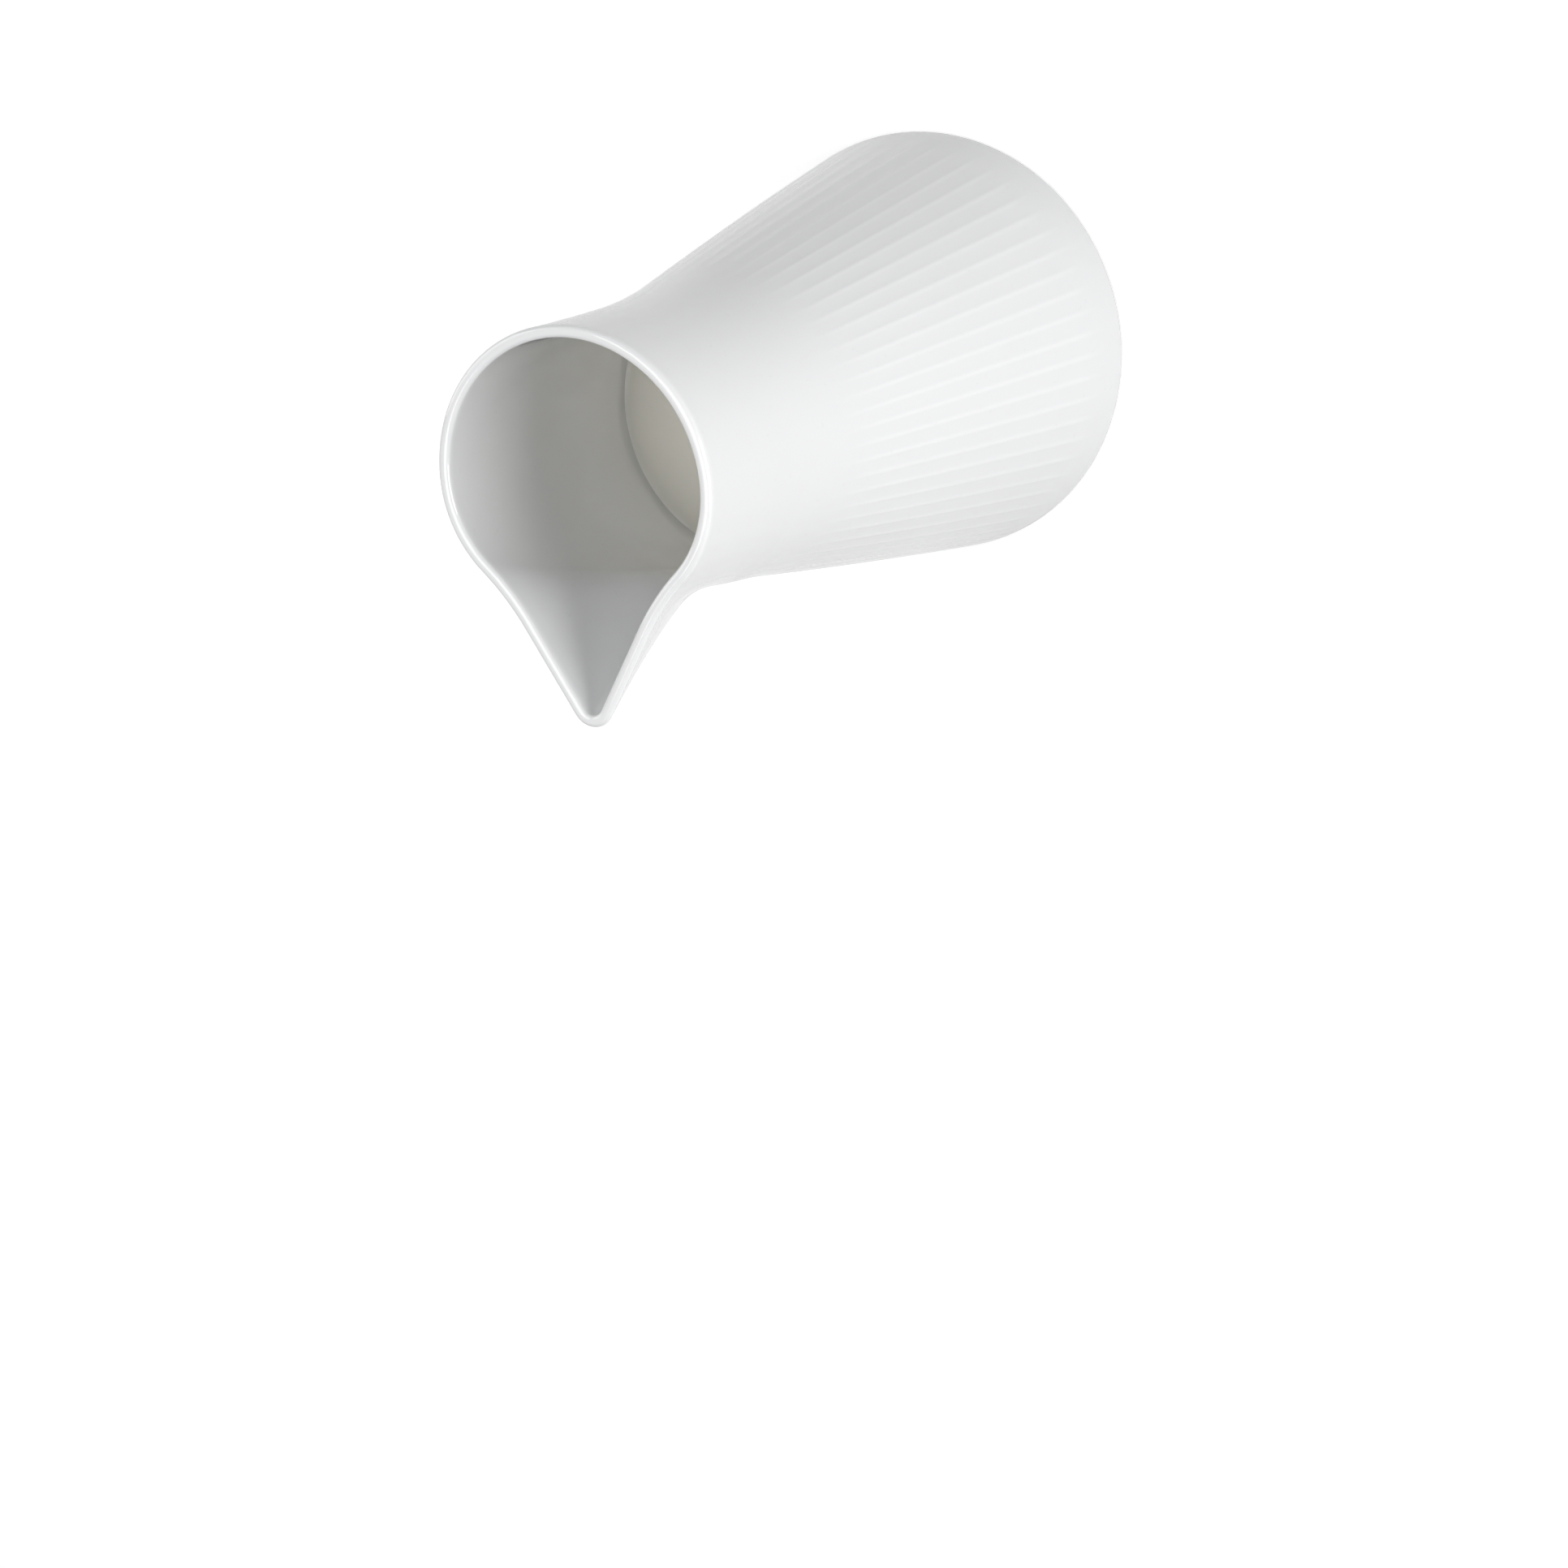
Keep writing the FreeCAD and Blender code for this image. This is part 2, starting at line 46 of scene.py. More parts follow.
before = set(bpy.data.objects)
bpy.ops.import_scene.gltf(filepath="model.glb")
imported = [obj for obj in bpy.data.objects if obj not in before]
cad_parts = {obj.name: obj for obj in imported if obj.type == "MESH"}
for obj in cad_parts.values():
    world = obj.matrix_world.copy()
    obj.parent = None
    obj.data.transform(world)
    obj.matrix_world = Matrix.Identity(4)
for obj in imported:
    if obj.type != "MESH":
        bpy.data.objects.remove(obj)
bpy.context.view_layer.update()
JUG_LOW, JUG_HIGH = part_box("jug")
MILK_LOW, MILK_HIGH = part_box("milk")
MM = 0.001
HEIGHT = JUG_HIGH.z
BASE_RADIUS = 37.5 * MM


def length(name, description, millimetres):
    """A property that holds a length, shown in the scene's unit."""
    return FloatProperty(
        name=name,
        description=description,
        default=millimetres * MM,
        subtype="DISTANCE",
        unit="LENGTH",
        precision=5,
    )


def angle(name, description, value):
    """A property that holds an angle, given in degrees."""
    return FloatProperty(name=name, description=description, default=radians(value), subtype="ANGLE")


def share(name, description, value):
    """A property that holds a plain number from 0 up."""
    return FloatProperty(name=name, description=description, default=value, min=0.0, subtype="FACTOR")


def colour(name, description, value):
    """A property that holds a colour."""
    return FloatVectorProperty(
        name=name, description=description, default=value, size=4, min=0.0, max=1.0, subtype="COLOR"
    )


class JugShape(bpy.types.PropertyGroup):
    """Sizes of the porcelain jug."""

    # body and neck, outside
    swell: length("Swell", "How far the side swells out at half of the shoulder's height", 0.26)
    shoulder_height: length("Shoulder height", "Where the side turns up into the neck", 74.8)
    waist_height: length("Waist height", "Where the neck is narrowest", 101.0)
    waist_radius: length("Waist radius", "Outside, at the narrowest place", 23.16)
    rim_radius: length("Rim radius", "Outside, at the rim", 23.57)
    # foot and walls
    foot_round: length("Foot rounding", "Edge between the foot and the side", 1.2)
    foot_width: length("Foot width", "Ring that the jug stands on", 3.4)
    foot_depth: length("Foot depth", "How far the underside is set in", 1.2)
    body_wall: length("Body wall", "Side wall of the body", 2.6)
    lip_wall: length("Lip wall", "Side wall at the rim", 1.9)
    lip_round: length("Lip rounding", "Both edges of the lip", 0.75)
    floor_height: length("Floor height", "Inside floor above the ground", 4.4)
    floor_round: length("Floor rounding", "Inside, between the floor and the side", 6.0)
    # spout
    spout_start: length("Spout start", "Height at which the spout leaves the neck", 86.8)
    spout_reach: length("Spout reach", "From the axis to the spout's tip", 37.5)
    spout_sweep: share("Spout sweep", "Power of the spout's outward curve", 1.4)
    tip_angle: angle("Tip angle", "From the middle to a side of the spout, at the rim", 30.6)
    throat_angle: angle("Throat angle", "The same at the spout's start", 43.0)
    tip_round: length("Tip rounding", "Outside, round the spout's edge at the rim", 3.6)
    throat_round: length("Throat rounding", "The same at the spout's start", 1.0)
    tip_bore: length("Tip bore", "Inside, round the spout's edge at the rim", 1.7)
    throat_bore: length("Throat bore", "The same at the spout's start", 0.6)
    tip_hollow: share("Tip hollow", "Hollow beside the spout at the rim, per length it stands out", 2.8715)
    throat_hollow: share("Throat hollow", "The same at the spout's start", 0.32304)
    hollow_sweep: share("Hollow sweep", "Power by which that hollow widens upwards", 2.6)
    pinch: share("Pinch", "How much tighter the neck curves beside the spout", 0.16)
    # flutes
    flute_count: IntProperty(name="Flutes", description="Flutes round the body", default=60, min=3)
    flute_depth: length("Flute depth", "Depth of a flute where it is deepest", 0.10)
    flute_crest: share("Flute crest", "Power of its outline: the smaller, the narrower the crest", 0.6)
    flute_fade_start: length("Flute foot", "Where the flutes begin", 5.5)
    flute_full_start: length("Flute full from", "Where they reach their full depth", 16.0)
    flute_full_end: length("Flute full to", "Where they begin to fade", 66.0)
    flute_fade_end: length("Flute head", "Where they end", 84.0)
    # mesh
    steps: IntProperty(name="Steps", description="Mesh steps round the jug", default=480, min=60)


class JugFinish(bpy.types.PropertyGroup):
    """Colours of the glaze, the bare foot and the milk."""

    glaze: colour("Glaze", "White glaze", (0.86, 0.865, 0.87, 1.0))
    biscuit: colour("Biscuit", "Bare porcelain of the foot ring", (0.70, 0.675, 0.63, 1.0))
    milk: colour("Milk", "Whole milk", (0.85, 0.83, 0.75, 1.0))


class StudioSet(bpy.types.PropertyGroup):
    """Camera and light."""

    aim: FloatVectorProperty(
        name="Aim", description="Point that the camera looks at", default=(0.06, 0.0056, 0.075), size=3
    )
    azimuth: angle("Azimuth", "Of the camera, from the spout round to the left", 121.4)
    elevation: angle("Elevation", "Of the camera above level", 56.7)
    roll: angle("Roll", "Of the camera about its own line of sight", -121.2)
    distance: length("Distance", "From the aim to the camera", 534.2)
    lens: FloatProperty(name="Lens", description="Focal length in millimetres", default=74.7)


# Shape of the jug. Lengths are in metres, and turns about the axis are counted from the spout.


def mix(start, end, share_of_way):
    """The value that lies a share of the way from start to end."""
    return start + (end - start) * share_of_way


def eased(start, end, value):
    """0 before start, 1 after end and a smooth step between them."""
    way = min(max((value - start) / (end - start), 0.0), 1.0)
    return way * way * (3 - 2 * way)


def shoulder_radius(shape):
    """Outside radius at the shoulder, where the side and the neck have the same slope."""
    side = (BASE_RADIUS + 4 * shape.swell) / shape.shoulder_height
    neck_slope = 2 / (shape.waist_height - shape.shoulder_height)
    return (side + shape.waist_radius * neck_slope) / (1 / shape.shoulder_height + neck_slope)


def plain_radius(shape, height):
    """Outside radius of the body and neck without flutes and spout."""
    if height < shape.shoulder_height:
        way = height / shape.shoulder_height
        return mix(BASE_RADIUS, shoulder_radius(shape), way) + 4 * shape.swell * way * (1 - way)
    if height < shape.waist_height:
        fall = (shape.waist_height - height) / (shape.waist_height - shape.shoulder_height)
        return mix(shape.waist_radius, shoulder_radius(shape), fall**2)
    rise = (height - shape.waist_height) / (HEIGHT - shape.waist_height)
    return mix(shape.waist_radius, shape.rim_radius, rise**2)


def wall_at(shape, height):
    """Wall of the side, which thins evenly from the shoulder to the rim."""
    rise = max((height - shape.shoulder_height) / (HEIGHT - shape.shoulder_height), 0.0)
    return mix(shape.body_wall, shape.lip_wall, rise)


def flute_cut(shape, turn, height):
    """How deep the flutes cut into the outside: nothing on a crest, and nothing beyond their ends."""
    strength = eased(shape.flute_fade_start, shape.flute_full_start, height)
    strength *= 1 - eased(shape.flute_full_end, shape.flute_fade_end, height)
    return shape.flute_depth * strength * abs(sin(turn * shape.flute_count / 2)) ** shape.flute_crest


def spouted_radius(shape, turn, height, rise, inside, inset):
    """Distance from the axis to the spouted outline at one turn.

    The outline is a round back, tighter sides, hollow blends, straight flanks and a round edge. rise is
    the share of the spout's height. The outline lies inset further in than the wall's own face.
    """
    plain = plain_radius(shape, height)
    wall = wall_at(shape, height) if inside else 0.0
    back = plain - wall - inset
    side = plain * (1 - shape.pinch * rise) - wall - inset
    hollow = mix(shape.throat_hollow, shape.tip_hollow, rise**shape.hollow_sweep)
    blend = hollow * (shape.spout_reach - shape.rim_radius) + inset
    bore = mix(shape.throat_bore, shape.tip_bore, rise)
    edge = bore if inside else mix(shape.throat_round, shape.tip_round, rise)
    edge_centre = mix(plain, shape.spout_reach, rise**shape.spout_sweep) - wall - edge
    edge -= inset
    lean = mix(shape.throat_angle, shape.tip_angle, rise)

    # corner points in the half where y is positive
    side_up = back - side
    flank = edge_centre * sin(lean) + edge
    blend_turn = pi / 2 - lean - acos((flank + blend - side_up * cos(lean)) / (side + blend))
    blend_x = (side + blend) * cos(blend_turn)
    blend_y = side_up + (side + blend) * sin(blend_turn)
    edge_end = atan2(edge * cos(lean), edge_centre + edge * sin(lean))
    flank_end = atan2(blend_y - blend * cos(lean), blend_x - blend * sin(lean))
    blend_end = atan2(side_up + side * sin(blend_turn), side * cos(blend_turn))

    across, up = cos(turn), sin(turn)
    if turn < edge_end:
        return edge_centre * across + sqrt(edge**2 - (edge_centre * up) ** 2)
    if turn < flank_end:
        return flank / (sin(lean) * across + cos(lean) * up)
    if turn < blend_end:
        along = blend_x * across + blend_y * up
        return along - sqrt(along**2 - (blend_x**2 + blend_y**2 - blend**2))
    if turn < pi / 2:
        return side_up * up + sqrt((side_up * up) ** 2 - (side_up**2 - side**2))
    return back


FIRST_RISE = 0.2  # share of the spout's height below which its outline fades into the plain neck
THROAT_BAND = 10 * MM  # above and below the spout's start, where the mesh is smoothed
THROAT_TURN = 0.6  # to each side of the spout, in radians
THROAT_ROUNDS = 12
FINE_BELOW_SHOULDER = 5 * MM  # from there up the rows lie close together


def neck_surface(shape, turn, height, inside, inset=0.0):
    """Distance from the axis to the outside or the inside at one turn and height."""
    turn = abs(turn)
    top = HEIGHT - shape.lip_round
    rise = (min(height, top) - shape.spout_start) / (top - shape.spout_start)
    wall = wall_at(shape, height) if inside else 0.0
    plain = plain_radius(shape, height) - wall - inset
    if rise <= 0:
        return plain
    if rise >= FIRST_RISE:
        return spouted_radius(shape, turn, min(height, top), rise, inside, inset)
    first_height = mix(shape.spout_start, top, FIRST_RISE)
    first = spouted_radius(shape, turn, first_height, FIRST_RISE, inside, inset)
    first_wall = wall_at(shape, first_height) if inside else 0.0
    first_plain = plain_radius(shape, first_height) - first_wall - inset
    way = rise / FIRST_RISE
    bend = shape.spout_sweep - 2  # so that value and slope go on as the power above does
    return plain + (first - first_plain) * way**2 * (1 - bend + bend * way)


# Mesh helpers


def spun(profile, steps, marks):
    """A closed shape of revolution from points (across, up), each with the values of its layers.

    The profile starts and ends on the axis. Each mark becomes a float layer of the vertices.
    """
    mesh = bmesh.new()
    layers = {name: mesh.verts.layers.float.new(name) for name in marks}
    corners = []
    for across, up, *values in profile:
        corner = mesh.verts.new((across, 0, up))
        for layer, value in zip(layers.values(), values):
            corner[layer] = value
        corners.append(corner)
    edges = [mesh.edges.new(pair) for pair in zip(corners, corners[1:])]
    bmesh.ops.spin(
        mesh,
        geom=corners + edges,
        cent=(0, 0, 0),
        axis=(0, 0, 1),
        angle=2 * pi,
        steps=steps,
        use_merge=True,
        use_duplicate=False,
    )
    bmesh.ops.remove_doubles(mesh, verts=mesh.verts, dist=1e-7)
    bmesh.ops.recalc_face_normals(mesh, faces=mesh.faces)
    return mesh, {name: mesh.verts.layers.float[name] for name in marks}


def finished_object(mesh, name, materials):
    """An object at the origin that holds the mesh, shaded smooth."""
    for face in mesh.faces:
        face.smooth = True
    data = bpy.data.meshes.new(name)
    mesh.to_mesh(data)
    mesh.free()
    for material in materials:
        data.materials.append(material)
    piece = bpy.data.objects.new(name, data)
    bpy.context.scene.collection.objects.link(piece)
    return piece


def evenly(start, end, count):
    """count numbers from start to end, both included."""
    return [mix(start, end, number / (count - 1)) for number in range(count)]


def arc_points(centre, radius, start, end, count):
    """Points on an arc of the profile between two angles in degrees."""
    return [
        (centre[0] + radius * cos(radians(each)), centre[1] + radius * sin(radians(each)))
        for each in evenly(start, end, count)
    ]


OUTSIDE, INSIDE, NEITHER = 0.0, 1.0, -1.0  # which face of the side wall a point lies on

# rows of mesh points
UNDERSIDE_ROWS = 8
RING_EDGE_ROWS = 5
RING_ROWS = 5
FOOT_ROUND_ROWS = 9
OUTSIDE_LOW_ROWS = 36
OUTSIDE_HIGH_ROWS = 52
LIP_ROWS = 7
INSIDE_HIGH_ROWS = 48
INSIDE_LOW_ROWS = 18
FLOOR_ROUND_ROWS = 8
FLOOR_ROWS = 7


def foot_profile(shape):
    """From the middle of the underside over the foot ring to the start of the side."""
    ring_inside = BASE_RADIUS - shape.foot_round - shape.foot_width
    rounding = shape.foot_depth / 2
    slope = (BASE_RADIUS - shoulder_radius(shape)) / shape.shoulder_height
    lean = degrees(atan2(slope, 1))
    corner = plain_radius(shape, shape.foot_round) - shape.foot_round / cos(radians(lean))
    inner, outer = ring_inside - rounding, ring_inside + rounding
    points = [(across, shape.foot_depth) for across in evenly(0, inner, UNDERSIDE_ROWS)]
    points += arc_points((inner, 0.5 * shape.foot_depth), rounding, 90, 0, RING_EDGE_ROWS)[1:]
    points += arc_points((outer, 0.5 * shape.foot_depth), rounding, 180, 270, RING_EDGE_ROWS)[1:]
    points += [(across, 0.0) for across in evenly(outer, corner, RING_ROWS)[1:]]
    points += arc_points((corner, shape.foot_round), shape.foot_round, -90, lean, FOOT_ROUND_ROWS)[1:]
    return points


def jug_profile(shape):
    """The upright section without spout and flutes: across, up, side and inset of every point."""
    top = HEIGHT - shape.lip_round
    foot = [(across, up, NEITHER, 0.0) for across, up in foot_profile(shape)]
    start = foot[-1][1]
    fine_from = shape.shoulder_height - FINE_BELOW_SHOULDER
    heights = evenly(start, fine_from, OUTSIDE_LOW_ROWS)[1:]
    heights += evenly(fine_from, top, OUTSIDE_HIGH_ROWS)[1:]
    outside = [(plain_radius(shape, height), height, OUTSIDE, 0.0) for height in heights]
    outer_lip, inner_lip = [], []
    for turn in evenly(0, pi / 2, LIP_ROWS):
        inset = shape.lip_round * (1 - cos(turn))
        up = top + shape.lip_round * sin(turn)
        outer_lip.append((shape.rim_radius - inset, up, OUTSIDE, inset))
        inner_lip.append((shape.rim_radius - shape.lip_wall + inset, up, INSIDE, -inset))
    floor_corner = shape.floor_height + shape.floor_round
    inner_heights = evenly(top, fine_from, INSIDE_HIGH_ROWS)[1:]
    inner_heights += evenly(fine_from, floor_corner, INSIDE_LOW_ROWS)[1:]
    inside = [
        (plain_radius(shape, height) - wall_at(shape, height), height, INSIDE, 0.0)
        for height in inner_heights
    ]
    corner_across = inside[-1][0] - shape.floor_round
    centre = (corner_across, floor_corner)
    rounding = arc_points(centre, shape.floor_round, 0, -90, FLOOR_ROUND_ROWS)[1:]
    floor = [(across, up, NEITHER, 0.0) for across, up in rounding]
    flat = evenly(corner_across, 0, FLOOR_ROWS)[1:]
    floor += [(across, shape.floor_height, NEITHER, 0.0) for across in flat]
    return foot + outside + outer_lip[1:] + inner_lip[::-1] + inside + floor


def shaped_jug(shape):
    """The jug's mesh, with its spout drawn out and its flutes cut in."""
    mesh, layers = spun(jug_profile(shape), shape.steps, ("side", "inset"))
    top = HEIGHT - shape.lip_round
    for corner in mesh.verts:
        side = round(corner[layers["side"]])
        across = hypot(corner.co.x, corner.co.y)
        if side == NEITHER:
            continue
        turn = atan2(corner.co.y, corner.co.x)
        height = corner.co.z
        reach = neck_surface(shape, turn, height, side == INSIDE, corner[layers["inset"]])
        if side == OUTSIDE and height <= top:
            reach -= flute_cut(shape, turn, height)
        corner.co.x *= reach / across
        corner.co.y *= reach / across
    throat = [
        corner
        for corner in mesh.verts
        if abs(corner.co.z - shape.spout_start) < THROAT_BAND
        and abs(atan2(corner.co.y, corner.co.x)) < THROAT_TURN
    ]
    for _ in range(THROAT_ROUNDS):
        bmesh.ops.smooth_vert(
            mesh, verts=throat, factor=0.5, use_axis_x=True, use_axis_y=True, use_axis_z=False
        )
    return mesh


REACH_IN = 0.15 * MM  # how far the milk reaches into the wall and the floor
CLIMB = 0.35 * MM  # how far its edge climbs the wall
CLIMB_WIDTH = 2.2 * MM
CLIMB_POWER = 2.2  # how sharply it turns up there
MILK_STEPS = 192
MILK_UNDERSIDE_ROWS = 6
MILK_SIDE_ROWS = 20
MILK_CLIMB_ROWS = 14
MILK_SURFACE_ROWS = 12


def shaped_milk(shape):
    """The milk, whose edge climbs the wall a little and reaches just into it."""
    level = MILK_HIGH.z - CLIMB
    low = MILK_LOW.z - REACH_IN

    def inner(height):
        return plain_radius(shape, height) - wall_at(shape, height)

    corner_up = shape.floor_height + shape.floor_round
    corner_across = inner(corner_up) - shape.floor_round
    centre = (corner_across, corner_up)
    heights = evenly(corner_up, MILK_HIGH.z, MILK_SIDE_ROWS)[1:]
    edge = inner(MILK_HIGH.z) + REACH_IN
    points = [(across, low) for across in evenly(0, corner_across, MILK_UNDERSIDE_ROWS)]
    points += arc_points(centre, shape.floor_round + REACH_IN, -90, 0, FLOOR_ROUND_ROWS)[1:]
    points += [(inner(height) + REACH_IN, height) for height in heights]
    for way in evenly(0, 1, MILK_CLIMB_ROWS)[1:]:
        points.append((edge - CLIMB_WIDTH * way, level + CLIMB * (1 - way) ** CLIMB_POWER))
    points += [(across, level) for across in evenly(edge - CLIMB_WIDTH, 0, MILK_SURFACE_ROWS)[1:]]
    mesh, _ = spun(points, MILK_STEPS, ())
    return mesh


# Materials


class Socket:
    """A shader value on which Python's arithmetic adds Math nodes."""

    def __init__(self, tree, output):
        self.tree = tree
        self.output = output

    def maths(self, operation, *others, swapped=False):
        values = [self, *others]
        if swapped:
            values.reverse()
        return self.tree.node("ShaderNodeMath", {"operation": operation}, dict(enumerate(values)))

    def __add__(self, other):
        return self.maths("ADD", other)

    def __radd__(self, other):
        return self.maths("ADD", other, swapped=True)

    def __sub__(self, other):
        return self.maths("SUBTRACT", other)

    def __rsub__(self, other):
        return self.maths("SUBTRACT", other, swapped=True)

    def __mul__(self, other):
        return self.maths("MULTIPLY", other)

    def __rmul__(self, other):
        return self.maths("MULTIPLY", other, swapped=True)

    def __pow__(self, other):
        return self.maths("POWER", other)

    def sine(self):
        return self.maths("SINE")

    def size(self):
        """The value without its sign."""
        return self.maths("ABSOLUTE")

    def stepped(self, start, end):
        """A smooth step from 0 at start to 1 at end."""
        settings = {"interpolation_type": "SMOOTHSTEP"}
        inputs = {"Value": self, "From Min": start, "From Max": end}
        return self.tree.node("ShaderNodeMapRange", settings, inputs)


class Finish:
    """A material and its node tree."""

    def __init__(self, name):
        self.material = bpy.data.materials.new(name)
        self.material.use_nodes = True
        self.nodes = self.material.node_tree.nodes
        self.links = self.material.node_tree.links
        self.nodes.clear()

    def node(self, kind, settings=None, inputs=None, output=0):
        """Adds a node, sets it up, fills its sockets and gives one of its outputs."""
        made = self.nodes.new(kind)
        for name, value in (settings or {}).items():
            setattr(made, name, value)
        for name, value in (inputs or {}).items():
            if isinstance(value, Socket):
                self.links.new(value.output, made.inputs[name])
            else:
                made.inputs[name].default_value = value
        return None if output is None else Socket(self, made.outputs[output])

    def place(self):
        return self.node("ShaderNodeTexCoord", output="Object")

    def parts_of(self, vector):
        """The three numbers of a vector."""
        split = self.nodes.new("ShaderNodeSeparateXYZ")
        self.links.new(vector.output, split.inputs[0])
        return [Socket(self, each) for each in split.outputs]

    def noise(self, place, scale, detail=3.0, roughness=0.5):
        inputs = {"Vector": place, "Scale": scale, "Detail": detail, "Roughness": roughness}
        return self.node("ShaderNodeTexNoise", inputs=inputs, output="Fac")

    def blended(self, factor, first, second):
        """Mixes two colours."""
        mixer = self.nodes.new("ShaderNodeMix")
        mixer.data_type = "RGBA"
        sockets = [each for each in mixer.inputs if each.type == "RGBA"]
        for socket, value in zip([mixer.inputs["Factor"], *sockets], (factor, first, second)):
            if isinstance(value, Socket):
                self.links.new(value.output, socket)
            else:
                socket.default_value = value
        return Socket(self, next(each for each in mixer.outputs if each.type == "RGBA"))

    def bump(self, height, distance, strength=1.0):
        inputs = {"Height": height, "Distance": distance, "Strength": strength}
        return self.node("ShaderNodeBump", inputs=inputs)

    def shade(self, **sockets):
        """Ends the tree in a Principled shader."""
        inputs = {name.replace("_", " "): value for name, value in sockets.items()}
        shader = self.node("ShaderNodeBsdfPrincipled", inputs=inputs)
        self.node("ShaderNodeOutputMaterial", inputs={"Surface": shader}, output=None)
        return self.material


POOLING_SCALE = 38.0  # noise scales, in waves for each metre
SPECK_SCALE = 900.0
GRAIN_SCALE = 1600.0
DIMPLE_SCALE = 70.0
CLOUD_SCALE = 60.0
SPECK_SHARE = 0.05  # how strongly the specks show
DIMPLE_DEPTH = 0.02 * MM
GRAIN_DEPTH = 0.03 * MM
CLOUD_DEPTH = 0.2 * MM
BARE_FROM, BARE_TO = 0.02 * MM, 0.25 * MM  # heights between which the bare ring turns into glaze
MILK_EDGE_SHADE = 3.0 * MM  # width of the painted shade along the milk's edge, where it meets the wall
CREST_WIDTH = 0.6  # sine of the part of a half flute that the painted crest highlight takes up
CREST_HIGHLIGHT = 1.045  # how much lighter the painted highlight makes the glaze on the crests
LIP_HIGHLIGHT = 1.09  # and on the lip: a painted highlight, standing in for the light that its thin edge catches and lets through


def tinted(value, factor):
    """A colour with its three channels scaled."""
    return (*[channel * factor for channel in value[:3]], 1.0)


def crest_highlight_mask(shape, across, along, up):
    """1 on the flutes' crests, where a highlight is painted into the glaze's colour, 0 in the hollows."""
    phase = (along.maths("ARCTAN2", across) * (shape.flute_count / 2)).sine().size()
    fluted = up.stepped(shape.flute_fade_start, shape.flute_full_start)
    fluted = fluted * (1 - up.stepped(shape.flute_full_end, shape.flute_fade_end))
    slope = (BASE_RADIUS - shoulder_radius(shape)) / shape.shoulder_height
    at_ground = (across * across + along * along) ** 0.5 + up * slope
    outside = at_ground.stepped(BASE_RADIUS - shape.body_wall, BASE_RADIUS - shape.body_wall / 2)
    return (1 - phase.stepped(0.0, CREST_WIDTH)) * fluted * outside


def glaze_material(colours, shape):
    """White glaze with a painted highlight on the flutes' crests and on the lip, faintly pooled and
    dimpled, and the bare foot ring.
    """
    finish = Finish("white_glaze")
    place = finish.place()
    across, along, up = finish.parts_of(place)
    pooling = finish.noise(place, POOLING_SCALE, detail=2.0)
    specks = finish.noise(place, SPECK_SCALE, detail=1.0).stepped(0.70, 0.76)
    white = finish.blended(pooling, tinted(colours.glaze, 0.985), colours.glaze)
    # painted highlight: the flutes' crests are lighter than the rest of the glaze
    crests = crest_highlight_mask(shape, across, along, up)
    white = finish.blended(crests, white, tinted(colours.glaze, CREST_HIGHLIGHT))
    # painted highlight: the lip is lighter than the rest of the glaze
    lip = up.stepped(HEIGHT - 2 * shape.lip_round, HEIGHT - shape.lip_round / 2)
    white = finish.blended(lip, white, tinted(colours.glaze, LIP_HIGHLIGHT))
    white = finish.blended(specks * SPECK_SHARE, white, tinted(colours.biscuit, 0.7))
    bare = 1 - up.stepped(BARE_FROM, BARE_TO)
    grain = finish.noise(place, GRAIN_SCALE, detail=3.0)
    biscuit = finish.blended(grain, tinted(colours.biscuit, 0.9), colours.biscuit)
    dimples = finish.noise(place, DIMPLE_SCALE, detail=1.0)
    relief = dimples * DIMPLE_DEPTH + grain * bare * GRAIN_DEPTH
    return finish.shade(
        Base_Color=finish.blended(bare, white, biscuit),
        Roughness=0.07 + dimples * 0.03 + bare * 0.55,
        Coat_Weight=0.6 * (1 - bare),
        Coat_Roughness=0.04,
        Normal=finish.bump(relief, 1.0, strength=0.35),
    )


def milk_material(colours, shape):
    """Warm white milk, with painted shade where its edge meets the wall."""
    finish = Finish("whole_milk")
    place = finish.place()
    across, along, _ = finish.parts_of(place)
    reach = (across * across + along * along) ** 0.5
    rim = plain_radius(shape, MILK_HIGH.z) - shape.body_wall
    # painted shade: the milk is darker towards the wall that it meets
    edge = reach.stepped(rim - MILK_EDGE_SHADE, rim)
    cloud = finish.noise(place, CLOUD_SCALE, detail=2.0)
    body = finish.blended(cloud, tinted(colours.milk, 0.985), colours.milk)
    return finish.shade(
        Base_Color=finish.blended(edge * 0.35, body, tinted(colours.milk, 0.9)),
        Roughness=0.12 + cloud * 0.05,
        Normal=finish.bump(cloud * CLOUD_DEPTH, 1.0, strength=0.4),
        Subsurface_Weight=0.25,
        Subsurface_Scale=0.002,
        Subsurface_Radius=(1.0, 0.8, 0.6),
        Coat_Weight=0.3,
    )


FLOOR_RADIUS = 4.0
LAMP_DISTANCE = 1.1
SENSOR_WIDTH = 36.0  # millimetres
AIR = 0.055  # strength of the even light from all round
HORIZON = 0.5  # what the camera sees beyond the floor, as pale as the floor's far edge
FLOOR_GLOW = 0.45  # what the floor adds to its own light for the camera, so that it reads white
MIRRORED_SHARE = 0.45  # how much of that glow shows in the glaze


def studio_air():
    """Even light from all round, which the camera sees as a pale background."""
    world = bpy.data.worlds.new("studio_air")
    world.use_nodes = True
    nodes, links = world.node_tree.nodes, world.node_tree.links
    path = nodes.new("ShaderNodeLightPath")
    pale = nodes.new("ShaderNodeMapRange")
    pale.inputs["To Min"].default_value = AIR
    pale.inputs["To Max"].default_value = HORIZON
    links.new(path.outputs["Is Camera Ray"], pale.inputs["Value"])
    background = nodes["Background"]
    background.inputs["Color"].default_value = (1, 1, 1, 1)
    links.new(pale.outputs["Result"], background.inputs["Strength"])
    return world


